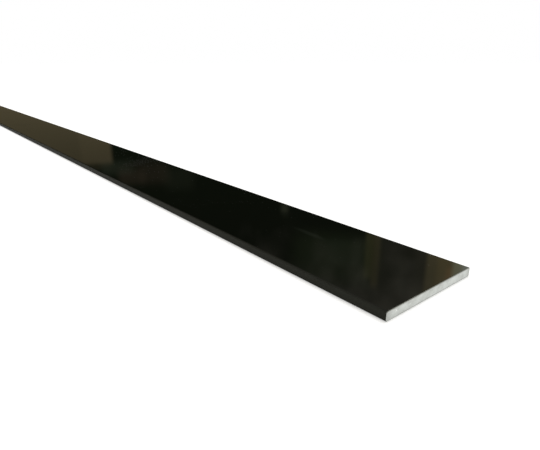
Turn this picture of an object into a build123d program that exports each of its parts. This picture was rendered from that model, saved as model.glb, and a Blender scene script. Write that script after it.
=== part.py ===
"""Flat bar: a length of flat extruded aluminium with a black anodised skin, as sold from the rack.

The bar is one piece. A die gives it a rectangular section with four slightly rounded long edges,
and a saw cuts it square to length, leaving two bare ends whose sharp rims are broken with a file.

Millimetres. X runs along the bar, Y across its width and Z up through its thickness. The origin is
at the middle of the bottom face, so the bar lies flat on Z = 0 with the same length on each side.
"""

import os

from build123d import *

bar_length = 1000.0  # saw cut to saw cut
bar_width = 40.0  # across the broad faces
bar_thickness = 3.0  # between the broad faces
long_edge_radius = 0.5  # rounding that the die leaves on each of the four long edges
end_edge_break = 0.15  # 45 degree break filed round the rim of each sawn end


def die_section():
    """The outline that the die gives the bar, standing on the bottom face."""
    return Plane.YZ * RectangleRounded(
        bar_width, bar_thickness, long_edge_radius, align=(Align.CENTER, Align.MIN)
    )


def sawn_rims(bar):
    """The closed rim of each of the two sawn ends."""
    ends = bar.faces().filter_by(Axis.X).sort_by(Axis.X)
    return ends[0].edges() + ends[-1].edges()


def flat_bar():
    """The section drawn out to length, with the rim of both ends broken."""
    drawn = extrude(die_section(), amount=bar_length / 2, both=True)
    return chamfer(sawn_rims(drawn), end_edge_break)


os.makedirs("parts", exist_ok=True)
export_step(flat_bar(), "parts/flat_bar.step")
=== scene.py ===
import math

import bmesh
import bpy
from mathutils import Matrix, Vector


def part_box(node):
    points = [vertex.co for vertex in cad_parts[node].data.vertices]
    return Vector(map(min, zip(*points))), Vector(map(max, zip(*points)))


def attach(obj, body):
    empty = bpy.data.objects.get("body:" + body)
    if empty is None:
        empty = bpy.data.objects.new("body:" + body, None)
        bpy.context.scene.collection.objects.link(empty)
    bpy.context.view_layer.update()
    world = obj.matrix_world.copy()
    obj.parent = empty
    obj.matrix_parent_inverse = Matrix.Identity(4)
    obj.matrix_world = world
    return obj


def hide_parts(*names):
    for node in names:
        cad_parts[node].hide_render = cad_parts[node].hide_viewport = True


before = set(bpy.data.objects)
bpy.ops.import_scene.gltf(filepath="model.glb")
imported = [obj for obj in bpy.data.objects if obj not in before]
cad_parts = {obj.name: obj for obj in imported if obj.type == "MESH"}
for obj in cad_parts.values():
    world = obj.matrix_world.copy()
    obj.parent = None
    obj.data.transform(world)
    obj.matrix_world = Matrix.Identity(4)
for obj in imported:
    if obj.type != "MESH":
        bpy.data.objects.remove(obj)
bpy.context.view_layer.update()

# The flat bar.
# One length of aluminium pushed through a die, which leaves four slightly rounded long edges. It is
# dyed black and sealed in the anodising tank, sawn to length afterwards, and the rims are filed.

millimetre = 0.001
long_edge_radius = 0.5 * millimetre
long_edge_facets = 8
end_edge_break = 0.15 * millimetre
saw_grid = 0.1 * millimetre  # spacing of the points that carry the saw marks
saw_blade_radius = 150 * millimetre
saw_hub_swing = math.radians(28)  # how far the blade's hub leans off the middle of the cut
tooth_mark_pitch = 0.45 * millimetre  # real marks are about 0.1 mm apart, and that would not show
tooth_mark_depth = 0.012 * millimetre
chatter_pitch = 3.1 * millimetre
chatter_depth = 0.008 * millimetre
chatter_drift = math.radians(2300)  # how far the chatter's phase runs on across the bar's width
round_profile = 0.5
along_share = 0.999  # an edge or a normal counts as lying along an axis from this share of it on
bare_share = 0.3  # a face that looks this much along the bar is bare metal: the cuts and their rims
crease_angle = math.radians(20)
touching = 1e-5 * millimetre  # a point this close to a cutting plane counts as on it

bar_low, bar_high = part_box("flat_bar")
bar_middle = (bar_low + bar_high) / 2
bar_size = bar_high - bar_low


def edges_along(mesh, axis):
    """The edges of a mesh that run along one axis."""
    found = []
    for edge in mesh.edges:
        run = edge.verts[1].co - edge.verts[0].co
        if abs(run[axis]) > along_share * run.length:
            found.append(edge)
    return found


def sawn_faces(mesh):
    """The faces of the two sawn ends."""
    return [face for face in mesh.faces if abs(face.normal.x) > along_share]


def cut_into_grid(mesh, axis, spacing):
    """Cut the sawn faces by a row of planes, so that the saw marks have points to move."""
    cuts = round(bar_size[axis] / spacing)
    normal = Vector((0, 0, 0))
    normal[axis] = 1
    for number in range(1, cuts):
        place = bar_low.copy()
        place[axis] += number * bar_size[axis] / cuts
        reach = place[axis] - spacing
        waiting = [face for face in sawn_faces(mesh) if face.calc_center_bounds()[axis] > reach]
        around = {edge for face in waiting for edge in face.edges}
        corners = {corner for face in waiting for corner in face.verts}
        bmesh.ops.bisect_plane(
            mesh,
            geom=[*waiting, *around, *corners],
            dist=touching,
            plane_co=place,
            plane_no=normal,
        )


def saw_mark(y, z):
    """How deep the saw's teeth have cut at a place on an end: arcs about the blade's hub."""
    hub_y = bar_middle.y + saw_blade_radius * math.sin(saw_hub_swing)
    hub_z = bar_middle.z + saw_blade_radius * math.cos(saw_hub_swing)
    reach = math.hypot(y - hub_y, z - hub_z)
    tooth = 0.5 + 0.5 * math.sin(2 * math.pi * reach / tooth_mark_pitch)
    drift = chatter_drift * y / bar_size.y
    chatter = 0.5 + 0.5 * math.sin(2 * math.pi * reach / chatter_pitch + drift)
    return tooth_mark_depth * tooth + chatter_depth * chatter


bar = bmesh.new()
bmesh.ops.create_cube(bar, size=1)
bmesh.ops.scale(bar, vec=bar_size, verts=bar.verts)
bmesh.ops.translate(bar, vec=bar_middle, verts=bar.verts)
bmesh.ops.bevel(
    bar,
    geom=edges_along(bar, 0),
    affect="EDGES",
    offset_type="OFFSET",
    offset=long_edge_radius,
    segments=long_edge_facets,
    profile=round_profile,
    material=-1,
)
rims = {edge for face in sawn_faces(bar) for edge in face.edges}
bmesh.ops.bevel(
    bar,
    geom=list(rims),
    affect="EDGES",
    offset_type="OFFSET",
    offset=end_edge_break,
    segments=1,
    profile=round_profile,
    material=-1,
)
cut_into_grid(bar, 2, saw_grid)
cut_into_grid(bar, 1, saw_grid)
bmesh.ops.recalc_face_normals(bar, faces=bar.faces)
end_points = {corner for face in sawn_faces(bar) for corner in face.verts}
for corner in end_points:
    inward = -1 if corner.co.x > bar_middle.x else 1
    corner.co.x += inward * saw_mark(corner.co.y, corner.co.z)
for face in bar.faces:
    face.smooth = True
    face.material_index = 1 if abs(face.normal.x) > bare_share else 0
for edge in bar.edges:
    edge.smooth = edge.calc_face_angle(0) < crease_angle

bar_mesh = bpy.data.meshes.new("anodised_bar")
bar.to_mesh(bar_mesh)
bar.free()
bar_piece = bpy.data.objects.new("anodised_bar", bar_mesh)
bpy.context.collection.objects.link(bar_piece)
flat_faces = bar_piece.modifiers.new("broad faces stay flat", "WEIGHTED_NORMAL")
flat_faces.mode = "FACE_AREA"
flat_faces.weight = 100  # the most that it takes, so that the large faces win at every corner
flat_faces.keep_sharp = True


def linear(hex_colour):
    """An sRGB hex colour as the linear RGBA that a shader takes."""
    channels = [int(hex_colour[place : place + 2], 16) / 255 for place in (1, 3, 5)]
    return [c / 12.92 if c <= 0.04045 else ((c + 0.055) / 1.055) ** 2.4 for c in channels] + [1]


def add(tree, kind, inputs=None, **settings):
    """Add a node with its settings, and give its inputs their values or links."""
    node = tree.nodes.new(kind)
    for name, value in settings.items():
        setattr(node, name, value)
    for socket, value in (inputs or {}).items():
        if isinstance(value, bpy.types.NodeSocket):
            tree.links.new(value, node.inputs[socket])
        else:
            node.inputs[socket].default_value = value
    return node


def off_middle(tree):
    """How far a place is from the middle of the bar, along each axis by itself."""
    place = add(tree, "ShaderNodeTexCoord").outputs["Object"]
    gone = add(tree, "ShaderNodeVectorMath", {0: place, 1: bar_middle}, operation="SUBTRACT")
    away = add(tree, "ShaderNodeVectorMath", {0: gone.outputs["Vector"]}, operation="ABSOLUTE")
    return add(tree, "ShaderNodeSeparateXYZ", {"Vector": away.outputs["Vector"]}).outputs


# Black anodised aluminium: a clear hard oxide over dye. The broad faces mirror the room faintly and
# sharply, the drawn narrow faces are duller, and no metal shows through. The narrow faces' paler,
# browner colour is painted sheen for the floor's light that they mirror.
skin_black = linear("#0a0b08")
# The narrow faces' colour is painted sheen, paler and browner than the skin's own black.
narrow_face_painted_sheen = linear("#25261d")
skin_ior = 1.3
broad_face_roughness = 0.04
smudge_roughness = 0.11
smudge_width = 35 * millimetre
smudge_share = (0.45, 0.75)  # the noise's values at which a smudge starts, and is at its dullest
narrow_face_roughness = 0.7
narrow_face_start = 19.7 * millimetre  # off the middle of the bar, partly round the edge radius
die_line_width = 0.7 * millimetre
die_line_length = 400 * millimetre
die_line_depth = 0.0004 * millimetre
wave_length = 60 * millimetre
wave_depth = 0.02 * millimetre

skin = bpy.data.materials.new("black anodised aluminium")
skin.use_nodes = True
tree = skin.node_tree
tree.nodes.clear()
place = add(tree, "ShaderNodeTexCoord").outputs["Object"]
along_die = add(
    tree,
    "ShaderNodeMapping",
    {"Vector": place, "Scale": (1 / die_line_length, 1 / die_line_width, 1 / die_line_width)},
)
die_lines = add(
    tree, "ShaderNodeTexNoise", {"Vector": along_die.outputs["Vector"], "Scale": 1, "Detail": 2}
)
waves = add(tree, "ShaderNodeTexNoise", {"Vector": place, "Scale": 1 / wave_length, "Detail": 0})
smudges = add(
    tree, "ShaderNodeTexNoise", {"Vector": place, "Scale": 1 / smudge_width, "Detail": 3}
)
broad_dullness = add(
    tree,
    "ShaderNodeMapRange",
    {
        "Value": smudges.outputs["Fac"],
        "From Min": smudge_share[0],
        "From Max": smudge_share[1],
        "To Min": broad_face_roughness,
        "To Max": smudge_roughness,
    },
    interpolation_type="SMOOTHSTEP",
)
narrow_face = add(
    tree,
    "ShaderNodeMapRange",
    {"Value": off_middle(tree)["Y"], "From Min": narrow_face_start, "From Max": bar_size.y / 2},
)
dullness = add(
    tree,
    "ShaderNodeMix",
    {
        "Factor": narrow_face.outputs["Result"],
        "A": broad_dullness.outputs["Result"],
        "B": narrow_face_roughness,
    },
)
# Painted sheen: the narrow faces get a paler, browner colour for the floor's light that they mirror.
dye_and_painted_sheen = add(
    tree,
    "ShaderNodeMix",
    {"Factor": narrow_face.outputs["Result"], "A": skin_black, "B": narrow_face_painted_sheen},
    data_type="RGBA",
)
lined = add(
    tree,
    "ShaderNodeBump",
    {"Height": die_lines.outputs["Fac"], "Strength": 1, "Distance": die_line_depth},
)
waved = add(
    tree,
    "ShaderNodeBump",
    {
        "Height": waves.outputs["Fac"],
        "Strength": 1,
        "Distance": wave_depth,
        "Normal": lined.outputs["Normal"],
    },
)

# A few specks of dust and one faint scuff lie on the skin, paler than it and as thin as a film.
dust_colour = linear("#33332e")
dust_spacing = 14 * millimetre
dust_radius = 0.5 * millimetre
dusty_share = 0.4
scuff_colour = linear("#151713")
scuff_place = (450 * millimetre, 2.7 * millimetre, 0)
scuff_turn = (0, 0, math.radians(-2))
scuff_reach = (11 * millimetre, 1.8 * millimetre, 1)
scuff_core = 0.2  # the share of its reach over which the scuff is whole

dust_cells = add(
    tree,
    "ShaderNodeTexVoronoi",
    {"Vector": place, "Scale": 1 / dust_spacing},
    voronoi_dimensions="2D",
)
chance = add(tree, "ShaderNodeSeparateColor", {"Color": dust_cells.outputs["Color"]})
has_dust = add(
    tree, "ShaderNodeMath", {0: chance.outputs["Red"], 1: dusty_share}, operation="LESS_THAN"
)
speck_size = add(
    tree,
    "ShaderNodeMath",
    {0: chance.outputs["Green"], 1: dust_radius / dust_spacing},
    operation="MULTIPLY",
)
speck = add(
    tree,
    "ShaderNodeMapRange",
    {
        "Value": dust_cells.outputs["Distance"],
        "From Min": 0,
        "From Max": speck_size.outputs["Value"],
        "To Min": has_dust.outputs["Value"],
        "To Max": 0,
    },
)
on_scuff = add(
    tree,
    "ShaderNodeMapping",
    {"Vector": place, "Location": scuff_place, "Rotation": scuff_turn, "Scale": scuff_reach},
    vector_type="TEXTURE",
)
off_scuff = add(tree, "ShaderNodeVectorMath", {0: on_scuff.outputs["Vector"]}, operation="LENGTH")
scuff = add(
    tree,
    "ShaderNodeMapRange",
    {
        "Value": off_scuff.outputs["Value"],
        "From Min": scuff_core,
        "From Max": 1,
        "To Min": 1,
        "To Max": 0,
    },
    interpolation_type="SMOOTHSTEP",
)
scuffed = add(
    tree,
    "ShaderNodeMix",
    {"Factor": scuff.outputs["Result"], "A": dye_and_painted_sheen.outputs["Result"], "B": scuff_colour},
    data_type="RGBA",
)
dusty = add(
    tree,
    "ShaderNodeMix",
    {"Factor": speck.outputs["Result"], "A": scuffed.outputs["Result"], "B": dust_colour},
    data_type="RGBA",
)
surface = add(
    tree,
    "ShaderNodeBsdfPrincipled",
    {
        "Base Color": dusty.outputs["Result"],
        "Metallic": 0,
        "Roughness": dullness.outputs["Result"],
        "IOR": skin_ior,
        "Normal": waved.outputs["Normal"],
    },
)
add(tree, "ShaderNodeOutputMaterial", {"Surface": surface.outputs["BSDF"]})

# Sawn aluminium: bare pale metal, dull from the teeth, in soft patches. A few grains are painted near
# white as glints, and it is painted greyer towards its rim as the shade on the filed, rounded rim.
sawn_dark = linear("#babdb9")
sawn_light = linear("#cfd3d0")
sawn_roughness = 0.42
patch_width = 3 * millimetre
patch_share = (0.35, 0.65)  # the noise's values at which the tone is darkest and lightest
grain_width = 0.35 * millimetre
grain_depth = 0.01 * millimetre
# Painted glints: a few grains are near white, standing in for bright glints off the saw marks.
glint_colour = linear("#fafbf9")
glint_spacing = 2.4 * millimetre
glint_radius = 0.8 * millimetre
glint_share = (0.5, 0.62)  # the grain's height at which a painted glint starts to show, and shows fully
# Painted shade: the rim's greyer colour stands in for the shade on the filed, rounded rim.
rim_shade_colour = linear("#b1b4b0")
rim_shade_from_sides = (2.8 * millimetre, 0.4 * millimetre)  # where its fade starts and ends
rim_shade_from_faces = (0.6 * millimetre, 0.15 * millimetre)

sawn = bpy.data.materials.new("sawn aluminium")
sawn.use_nodes = True
tree = sawn.node_tree
tree.nodes.clear()
place = add(tree, "ShaderNodeTexCoord").outputs["Object"]
grain = add(tree, "ShaderNodeTexNoise", {"Vector": place, "Scale": 1 / grain_width, "Detail": 4})
patches = add(tree, "ShaderNodeTexNoise", {"Vector": place, "Scale": 1 / patch_width, "Detail": 2})
patch = add(
    tree,
    "ShaderNodeMapRange",
    {"Value": patches.outputs["Fac"], "From Min": patch_share[0], "From Max": patch_share[1]},
)
tone = add(
    tree,
    "ShaderNodeMix",
    {"Factor": patch.outputs["Result"], "A": sawn_dark, "B": sawn_light},
    data_type="RGBA",
)
# Painted glints: near-white specks on some grains, in place of the saw marks' glints.
glint_cells = add(tree, "ShaderNodeTexVoronoi", {"Vector": place, "Scale": 1 / glint_spacing})
glint_place = add(
    tree,
    "ShaderNodeMapRange",
    {
        "Value": glint_cells.outputs["Distance"],
        "From Min": 0,
        "From Max": glint_radius / glint_spacing,
        "To Min": 1,
        "To Max": 0,
    },
)
glint_grain = add(
    tree,
    "ShaderNodeMapRange",
    {
        "Value": grain.outputs["Fac"],
        "From Min": glint_share[0],
        "From Max": glint_share[1],
        "To Min": 0,
        "To Max": glint_place.outputs["Result"],
    },
)
tone_and_glints = add(
    tree,
    "ShaderNodeMix",
    {"Factor": glint_grain.outputs["Result"], "A": tone.outputs["Result"], "B": glint_colour},
    data_type="RGBA",
)
from_middle = off_middle(tree)
# The rim's painted shade fades in over the last millimetres towards the sides and the faces.
rim_shade_sides = add(
    tree,
    "ShaderNodeMapRange",
    {
        "Value": from_middle["Y"],
        "From Min": bar_size.y / 2 - rim_shade_from_sides[0],
        "From Max": bar_size.y / 2 - rim_shade_from_sides[1],
    },
)
rim_shade_faces = add(
    tree,
    "ShaderNodeMapRange",
    {
        "Value": from_middle["Z"],
        "From Min": bar_size.z / 2 - rim_shade_from_faces[0],
        "From Max": bar_size.z / 2 - rim_shade_from_faces[1],
    },
)
rim_shade_mask = add(
    tree,
    "ShaderNodeMath",
    {0: rim_shade_sides.outputs["Result"], 1: rim_shade_faces.outputs["Result"]},
    operation="MAXIMUM",
)
rim_shaded_tone = add(
    tree,
    "ShaderNodeMix",
    {"Factor": rim_shade_mask.outputs["Value"], "A": tone_and_glints.outputs["Result"], "B": rim_shade_colour},
    data_type="RGBA",
)
torn = add(
    tree,
    "ShaderNodeBump",
    {"Height": grain.outputs["Fac"], "Strength": 1, "Distance": grain_depth},
)
surface = add(
    tree,
    "ShaderNodeBsdfPrincipled",
    {
        "Base Color": rim_shaded_tone.outputs["Result"],
        "Metallic": 1,
        "Roughness": sawn_roughness,
        "Normal": torn.outputs["Normal"],
    },
)
add(tree, "ShaderNodeOutputMaterial", {"Surface": surface.outputs["BSDF"]})

bar_mesh.materials.append(skin)
bar_mesh.materials.append(sawn)
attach(bar_piece, "root")
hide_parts("flat_bar")

# The floor.
# A plain board painted white, which the bar lies on. Part of its white is its own, and the rest is
# lit, so that it keeps the bar's soft shadow.
floor_reach = 40  # metres from its middle to each side
floor_white = linear("#d4d4d4")
floor_own_white = 0.47
shade_reach = 0.8 * millimetre  # how far the bar's close shade reaches from its long sides

floor_mesh = bpy.data.meshes.new("floor")
floor_shape = bmesh.new()
bmesh.ops.create_grid(floor_shape, x_segments=1, y_segments=1, size=floor_reach)
floor_shape.to_mesh(floor_mesh)
floor_shape.free()
floor = bpy.data.objects.new("floor", floor_mesh)
bpy.context.collection.objects.link(floor)


def any_ray(tree, *kinds):
    """1 for the kinds of ray that are named, and 0 for all others."""
    ray = add(tree, "ShaderNodeLightPath")
    seen = ray.outputs[kinds[0]]
    for kind in kinds[1:]:
        seen = add(
            tree, "ShaderNodeMath", {0: seen, 1: ray.outputs[kind]}, operation="MAXIMUM"
        ).outputs["Value"]
    return seen


board = bpy.data.materials.new("painted white board")
board.use_nodes = True
tree = board.node_tree
tree.nodes.clear()

# The gloss doesn't find the board's own white in the close shade beside the bar's long sides, so the
# bar's lower edges stay black.
from_middle = off_middle(tree)
past_side = add(
    tree,
    "ShaderNodeMapRange",
    {
        "Value": from_middle["Y"],
        "From Min": bar_size.y / 2,
        "From Max": bar_size.y / 2 + shade_reach,
    },
)
past_end = add(
    tree, "ShaderNodeMath", {0: from_middle["X"], 1: bar_size.x / 2}, operation="GREATER_THAN"
)
out_of_shade = add(
    tree,
    "ShaderNodeMath",
    {0: past_side.outputs["Result"], 1: past_end.outputs["Value"]},
    operation="MAXIMUM",
)
glossy = any_ray(tree, "Is Glossy Ray")
mirrored = add(
    tree, "ShaderNodeMath", {0: glossy, 1: out_of_shade.outputs["Value"]}, operation="MULTIPLY"
)
seen = any_ray(tree, "Is Camera Ray", "Is Transmission Ray")
shown = add(tree, "ShaderNodeMath", {0: seen, 1: mirrored.outputs["Value"]}, operation="MAXIMUM")
own = add(
    tree,
    "ShaderNodeMath",
    {0: shown.outputs["Value"], 1: floor_own_white},
    operation="MULTIPLY",
)
lit = add(tree, "ShaderNodeBsdfDiffuse", {"Color": floor_white})
glow = add(tree, "ShaderNodeEmission", {"Color": (1, 1, 1, 1), "Strength": own.outputs["Value"]})
both = add(tree, "ShaderNodeAddShader", {0: lit.outputs["BSDF"], 1: glow.outputs["Emission"]})
add(tree, "ShaderNodeOutputMaterial", {"Surface": both.outputs["Shader"]})
floor_mesh.materials.append(board)

# The lamp.
# One wide soft lamp overhead, a little behind the bar. With the light that the floor gives back, it
# lights the bar at a plain level, at which a colour looks about as it is written.
lamp_level = 0.75  # at 1, it would light a white board square to it to full white
lamp_width = math.radians(50)
lamp_lean = math.radians(15)
lamp_data = bpy.data.lights.new("wide soft lamp", "SUN")
lamp_data.energy = math.pi * lamp_level
lamp_data.angle = lamp_width
lamp = bpy.data.objects.new("wide soft lamp", lamp_data)
bpy.context.collection.objects.link(lamp)
lamp.rotation_euler = (-lamp_lean, 0, 0)

# The room.
# A dim room with a pale wall and a window lies all round the bar, and the bar's gloss mirrors it. A
# white board stands between the bar and the room's far side, as high as the camera sees.
world = bpy.data.worlds.new("dim room")
bpy.context.scene.world = world
world.use_nodes = True
tree = world.node_tree
tree.nodes.clear()

# Where a ray goes: its height above the horizon and its turn about the bar, both in degrees.
toward = add(tree, "ShaderNodeTexCoord").outputs["Generated"]
parts = add(tree, "ShaderNodeSeparateXYZ", {"Vector": toward})
rise = add(tree, "ShaderNodeMath", {0: parts.outputs["Z"]}, operation="ARCSINE")
height = add(tree, "ShaderNodeMath", {0: rise.outputs["Value"]}, operation="DEGREES").outputs["Value"]
left = add(tree, "ShaderNodeMath", {0: parts.outputs["X"], 1: -1}, operation="MULTIPLY")
swing = add(
    tree, "ShaderNodeMath", {0: left.outputs["Value"], 1: parts.outputs["Y"]}, operation="ARCTAN2"
)
turn = add(tree, "ShaderNodeMath", {0: swing.outputs["Value"]}, operation="DEGREES").outputs["Value"]


def band(value, low, high, soft):
    """1 where a value lies between two limits, fading to 0 over a soft margin on each side."""
    off = add(tree, "ShaderNodeMath", {0: value, 1: (low + high) / 2}, operation="SUBTRACT")
    away = add(tree, "ShaderNodeMath", {0: off.outputs["Value"]}, operation="ABSOLUTE")
    half = (high - low) / 2
    return add(
        tree,
        "ShaderNodeMapRange",
        {
            "Value": away.outputs["Value"],
            "From Min": half - soft,
            "From Max": half + soft,
            "To Min": 1,
            "To Max": 0,
        },
        interpolation_type="SMOOTHSTEP",
    ).outputs["Result"]


def with_panel(light, colour, strength, turns, heights, soft):
    """Add a panel with soft edges to the room's light. Its turns, heights and soft are degrees.

    A turn is 0 straight across the bar towards its back, and 90 along it towards its left end.
    """
    wide = band(turn, *turns, soft)
    tall = band(height, *heights, soft)
    share = add(tree, "ShaderNodeMath", {0: wide, 1: tall}, operation="MULTIPLY")
    glow = [strength * channel for channel in linear(colour)[:3]]
    panel = add(
        tree, "ShaderNodeVectorMath", {0: glow, "Scale": share.outputs["Value"]}, operation="SCALE"
    )
    return add(tree, "ShaderNodeVectorMath", {0: light, 1: panel.outputs["Vector"]}).outputs["Vector"]


# The room is nearly black near the floor and grey near the ceiling, with ragged soft patches.
room_low = (0.004, 0.008, 0.003, 1)  # a linear colour, as the next one is
room_high = (0.27, 0.255, 0.205, 1)
room_low_height = 21  # degrees above the horizon
room_high_height = 35
room_patch_scale = 16
room_patch_share = (0.35, 0.65)  # the noise's values at which a patch moves the greys the most
patch_lift = 2.2  # degrees that it then moves them down or up

patches = add(tree, "ShaderNodeTexNoise", {"Vector": toward, "Scale": room_patch_scale, "Detail": 3})
patch = add(
    tree,
    "ShaderNodeMapRange",
    {
        "Value": patches.outputs["Fac"],
        "From Min": room_patch_share[0],
        "From Max": room_patch_share[1],
        "To Min": -patch_lift,
        "To Max": patch_lift,
    },
)
ragged_height = add(tree, "ShaderNodeMath", {0: height, 1: patch.outputs["Result"]}, operation="ADD")
lift = add(
    tree,
    "ShaderNodeMapRange",
    {
        "Value": ragged_height.outputs["Value"],
        "From Min": room_low_height,
        "From Max": room_high_height,
    },
    interpolation_type="SMOOTHSTEP",
)
room = add(
    tree,
    "ShaderNodeMix",
    {"Factor": lift.outputs["Result"], "A": room_low, "B": room_high},
    data_type="RGBA",
).outputs["Result"]

# A low pale wall on the left, and dim things over its top and to the right of it.
room = with_panel(room, "#ffe6b4", 0.098, turns=(70.1, 85), heights=(-10, 11.3), soft=0.35)
room = with_panel(room, "#ffe8ac", 0.015, turns=(70.1, 73.5), heights=(-10, 11.3), soft=0.35)
room = with_panel(room, "#eaffd8", 0.03, turns=(67.8, 71.5), heights=(11.2, 12.6), soft=0.6)
room = with_panel(room, "#ffd8b8", 0.035, turns=(66.5, 69.6), heights=(12.2, 14), soft=0.6)
room = with_panel(room, "#ffd8b8", 0.028, turns=(63.6, 66.8), heights=(11.6, 14), soft=0.8)
room = with_panel(room, "#f4ffd4", 0.014, turns=(60.5, 64), heights=(12.4, 15), soft=0.9)

# A small far lamp, and to the right of it a low slope with a pale patch.
room = with_panel(room, "#f7ffd2", 0.13, turns=(48.1, 49.0), heights=(17.3, 18.1), soft=0.35)
room = with_panel(room, "#d8ffb0", 0.045, turns=(36, 47), heights=(21, 27), soft=1.6)
room = with_panel(room, "#ecffdc", 0.03, turns=(38, 42.5), heights=(21.6, 24.4), soft=0.6)

# A yellow post, and a wall that grows paler in steps towards a window on the right.
room = with_panel(room, "#fff39a", 0.10, turns=(36.5, 37.5), heights=(18, 26), soft=0.35)
room = with_panel(room, "#ffe6a0", 0.12, turns=(35.6, 36.5), heights=(18, 27), soft=0.35)
room = with_panel(room, "#fff6d8", 0.055, turns=(-60, 36.0), heights=(10, 34), soft=0.6)
room = with_panel(room, "#fff4d0", 0.05, turns=(-60, 31.0), heights=(10, 34), soft=0.8)
room = with_panel(room, "#ffe8a0", 0.215, turns=(22, 29.5), heights=(10, 34), soft=0.4)
room = with_panel(room, "#ffd060", 0.09, turns=(26.4, 28.2), heights=(18, 30), soft=0.5)
room = with_panel(room, "#ff9a40", 0.18, turns=(26.2, 27), heights=(23.4, 25.4), soft=0.4)
room = with_panel(room, "#f8ffd3", 0.50, turns=(22, 26.3), heights=(10, 34), soft=0.4)
room = with_panel(room, "#c9e1ff", 0.48, turns=(22, 25.2), heights=(10, 34), soft=0.4)

# The ceiling, and two pale walls on the camera's left, which the near long edges mirror.
room = with_panel(room, "#ffffff", 0.3, turns=(46, 150), heights=(48, 80), soft=5)
room = with_panel(room, "#ffffff", 0.25, turns=(112, 160), heights=(-10, 42), soft=8)
room = with_panel(room, "#ffffff", 0.35, turns=(138, 165), heights=(-10, 48), soft=4)

# The white board. Camera rays find white all round, so that the background is white from any side.
# The gloss finds only the board, because a room that is white all round would turn the skin grey.
board_turns = (-86, 70)  # degrees; farther left the pale wall hides it
board_heights = (-90, 6.9)  # up to the top of the camera's view
board_edge = 0.1
wide = band(turn, *board_turns, board_edge)
tall = band(height, *board_heights, board_edge)
board_share = add(tree, "ShaderNodeMath", {0: wide, 1: tall}, operation="MULTIPLY")
glossy = any_ray(tree, "Is Glossy Ray")
on_board = add(
    tree, "ShaderNodeMath", {0: board_share.outputs["Value"], 1: glossy}, operation="MULTIPLY"
)
seen = any_ray(tree, "Is Camera Ray", "Is Transmission Ray")
white_share = add(
    tree, "ShaderNodeMath", {0: seen, 1: on_board.outputs["Value"]}, operation="MAXIMUM"
)
dim = add(tree, "ShaderNodeBackground", {"Color": room, "Strength": 1})
white = add(tree, "ShaderNodeBackground", {"Color": (1, 1, 1, 1), "Strength": 1})
mixed = add(
    tree,
    "ShaderNodeMixShader",
    {
        0: white_share.outputs["Value"],
        1: dim.outputs["Background"],
        2: white.outputs["Background"],
    },
)
add(tree, "ShaderNodeOutputWorld", {"Surface": mixed.outputs["Shader"]})

# The camera.
# It stands close to the sawn end on the right, a little above the bar, and looks along it, so that
# the bar runs out of the picture on the left.
camera_place = Vector((0.5553, -0.1025, 0.0598))  # fitted to the bar's edges in the photo
camera_azimuth = math.radians(50.51)
camera_elevation = math.radians(19.85)  # how far it looks down
camera_lens = 29.83  # millimetres, for a sensor of the next line's width
camera_sensor = 36
nearest_seen = 0.002
farthest_seen = 200
camera_data = bpy.data.cameras.new("camera")
camera_data.lens = camera_lens
camera_data.sensor_width = camera_sensor
camera_data.clip_start = nearest_seen
camera_data.clip_end = farthest_seen
camera = bpy.data.objects.new("camera", camera_data)
bpy.context.collection.objects.link(camera)
camera.location = camera_place
camera.rotation_euler = (math.pi / 2 - camera_elevation, 0, camera_azimuth)
bpy.context.scene.camera = camera

bpy.context.scene.view_settings.view_transform = "Standard"
